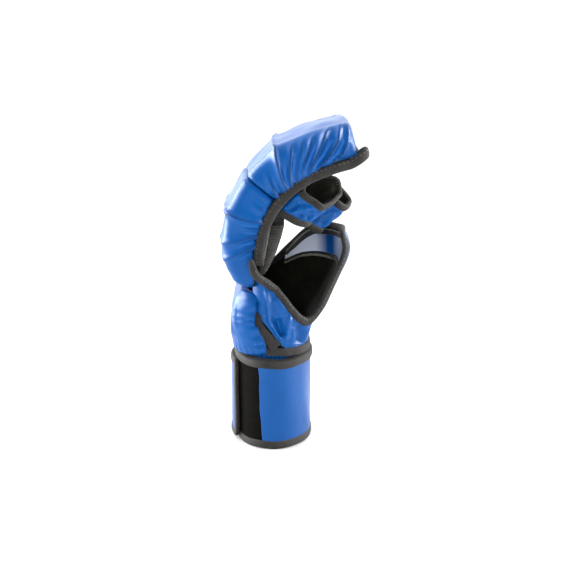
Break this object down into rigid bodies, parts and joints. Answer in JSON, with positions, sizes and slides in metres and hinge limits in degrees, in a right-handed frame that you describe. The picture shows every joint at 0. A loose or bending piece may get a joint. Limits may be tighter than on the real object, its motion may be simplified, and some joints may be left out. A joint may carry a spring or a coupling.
{
  "type": "mixed martial arts glove",
  "caption": "Left-hand mixed martial arts sparring glove with open finger loops, a curved padded knuckle guard, a thumb opening and a padded wrist cuff with a wrap-round strap.",
  "frame": {"origin": "centre of the wrist opening, in the plane of the cuff's lower bound edge, which the glove stands on", "axes": "+Z from the wrist towards the fingers, +X from the back of the hand towards the palm, -Y towards the thumb"},
  "size_m": [0.1015, 0.1112, 0.2452],
  "materials": {
    "blue_leather": "semi-gloss synthetic leather",
    "black_lining": "matt mesh cloth",
    "edge_tape": "ribbed bias tape",
    "foam": "soft closed-cell foam",
    "loop_tape": "looped pile",
    "hook_tape": "hook pile"
  },
  "bodies": {
    "hand": {"cuff_loop_panel": "loop_tape", "cuff_leather": "blue_leather", "cuff_foam": "foam", "cuff_lining": "black_lining", "cuff_bottom_binding": "edge_tape", "cuff_top_binding": "edge_tape", "wrist_yoke": "blue_leather", "hem_binding": "edge_tape", "thumb_gusset": "blue_leather", "thumb_gusset_lining": "black_lining", "palm_panel": "blue_leather", "palm_lining": "black_lining", "palm_facing": "blue_leather", "little_gusset": "blue_leather", "little_gusset_lining": "black_lining", "thumb_opening_binding": "edge_tape", "palm_rim_binding": "edge_tape", "vent_binding": "edge_tape", "back_pad_cover": "blue_leather", "back_pad_foam": "foam", "back_lining": "black_lining", "hand_pad_cover": "blue_leather", "hand_pad_foam": "foam", "hand_lining": "black_lining", "hand_cushion": "black_lining", "hand_thumb_binding": "edge_tape", "hand_little_binding": "edge_tape"},
    "knuckles": {"knuckle_pad_cover": "blue_leather", "knuckle_pad_foam": "foam", "knuckle_lining": "black_lining", "knuckle_thumb_binding": "edge_tape", "knuckle_little_binding": "edge_tape"},
    "fingertips": {"finger_pad_cover": "blue_leather", "finger_pad_foam": "foam", "finger_lining": "black_lining", "finger_binding": "edge_tape"},
    "strap_root": {"strap_root_leather": "blue_leather", "strap_root_lower_binding": "edge_tape", "strap_root_upper_binding": "edge_tape"},
    "strap_tip": {"strap_tip_leather": "blue_leather", "strap_tip_binding": "edge_tape", "strap_hook_panel": "hook_tape"},
    "index_loop": {"index_loop_leather": "blue_leather", "index_loop_lining": "black_lining", "index_loop_base_binding": "edge_tape", "index_loop_tip_binding": "edge_tape"},
    "middle_loop": {"middle_loop_leather": "blue_leather", "middle_loop_lining": "black_lining", "middle_loop_base_binding": "edge_tape", "middle_loop_tip_binding": "edge_tape"},
    "ring_loop": {"ring_loop_leather": "blue_leather", "ring_loop_lining": "black_lining", "ring_loop_base_binding": "edge_tape", "ring_loop_tip_binding": "edge_tape"},
    "little_loop": {"little_loop_leather": "blue_leather", "little_loop_lining": "black_lining", "little_loop_base_binding": "edge_tape", "little_loop_tip_binding": "edge_tape"}
  },
  "joints": [
    {"name": "knuckle_flex", "type": "hinge", "parent": "hand", "child": "knuckles", "pos_m": [-0.00909, 0, 0.17191], "axis": [0, 1, 0], "range_deg": [-8, 8], "stiffness_Nm_per_rad": 2},
    {"name": "fingertip_flex", "type": "hinge", "parent": "knuckles", "child": "fingertips", "pos_m": [0.01655, 0, 0.20534], "axis": [0, 1, 0], "range_deg": [-10, 15], "stiffness_Nm_per_rad": 1},
    {"name": "strap_swing", "type": "hinge", "parent": "hand", "child": "strap_root", "pos_m": [-0.00305, 0.04358, 0.034], "axis": [0, 0, -1], "range_deg": [0, 75], "stiffness_Nm_per_rad": 0.02},
    {"name": "strap_fold", "type": "hinge", "parent": "strap_root", "child": "strap_tip", "pos_m": [-0.03261, 0.01883, 0.034], "axis": [0, 0, -1], "range_deg": [0, 60], "stiffness_Nm_per_rad": 0.02},
    {"name": "index_loop_rock", "type": "hinge", "parent": "knuckles", "child": "index_loop", "pos_m": [0.01432, -0.0374, 0.19435], "axis": [0, 1, 0], "range_deg": [-5, 5], "stiffness_Nm_per_rad": 0.05},
    {"name": "middle_loop_rock", "type": "hinge", "parent": "knuckles", "child": "middle_loop", "pos_m": [0.01506, -0.0127, 0.19501], "axis": [0, 1, 0], "range_deg": [-5, 5], "stiffness_Nm_per_rad": 0.05},
    {"name": "ring_loop_rock", "type": "hinge", "parent": "knuckles", "child": "ring_loop", "pos_m": [0.01432, 0.0121, 0.19435], "axis": [0, 1, 0], "range_deg": [-5, 5], "stiffness_Nm_per_rad": 0.05},
    {"name": "little_loop_rock", "type": "hinge", "parent": "knuckles", "child": "little_loop", "pos_m": [0.01134, 0.0363, 0.19167], "axis": [0, 1, 0], "range_deg": [-5, 5], "stiffness_Nm_per_rad": 0.05}
  ]
}
